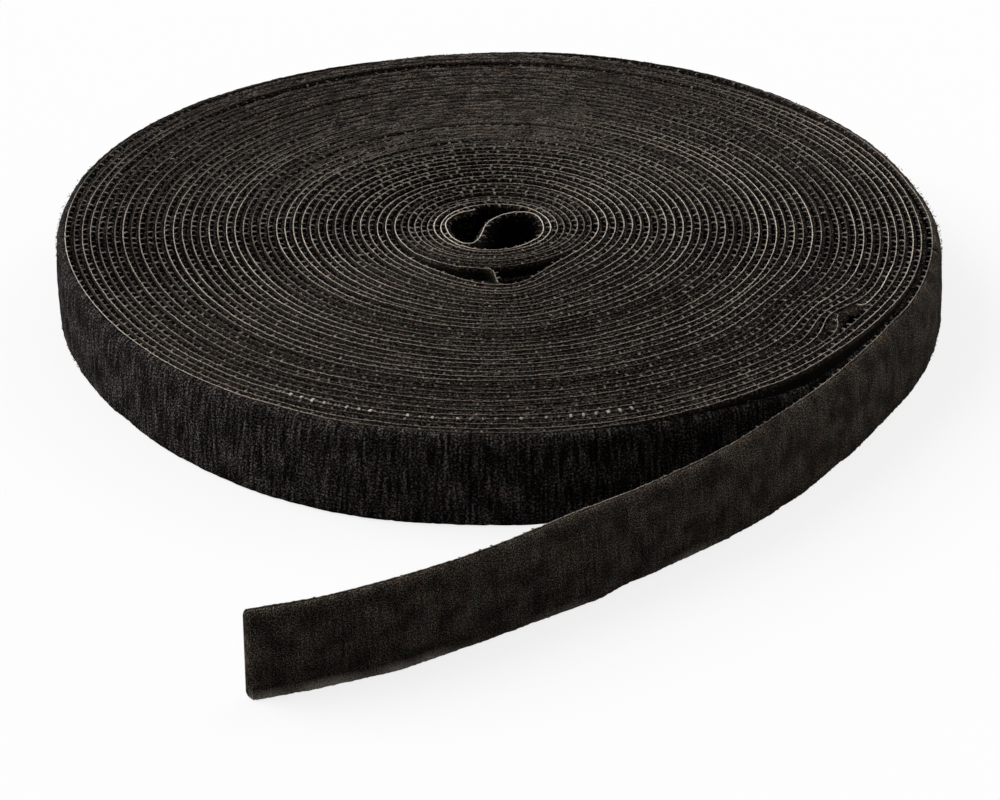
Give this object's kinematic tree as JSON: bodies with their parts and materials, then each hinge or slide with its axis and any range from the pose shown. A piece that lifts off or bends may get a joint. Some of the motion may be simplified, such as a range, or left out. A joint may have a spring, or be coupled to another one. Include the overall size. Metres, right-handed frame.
{
  "type": "hook and loop tape roll",
  "caption": "Roll of narrow back-to-back hook and loop tape, wound on itself without a core, with its free end lying out.",
  "frame": {"origin": "on the axis of the roll, at the level of the surface that it lies on", "axes": "+Z along the roll's axis, up; the free end leaves the roll on the +X side and runs to the front, -Y"},
  "size_m": [0.1888, 0.2545, 0.019],
  "materials": {
    "hook_ribbon": "matt black moulded ribbon with rows of hooks and pale worn edges",
    "loop_fabric": "black brushed loop pile"
  },
  "bodies": {
    "roll": {"inner_strip_hook_ribbon": "hook_ribbon", "inner_strip_loop_fabric": "loop_fabric", "middle_strip_hook_ribbon": "hook_ribbon", "middle_strip_loop_fabric": "loop_fabric", "outer_strip_hook_ribbon": "hook_ribbon", "outer_strip_loop_fabric": "loop_fabric"},
    "tail": {"tail_hook_ribbon": "hook_ribbon", "tail_loop_fabric": "loop_fabric"}
  },
  "joints": [
    {"name": "tail_peel", "type": "hinge", "parent": "roll", "child": "tail", "pos_m": [0.08509, -0.04005, 0], "axis": [0, 0, 1], "range_deg": [0, 60]}
  ]
}
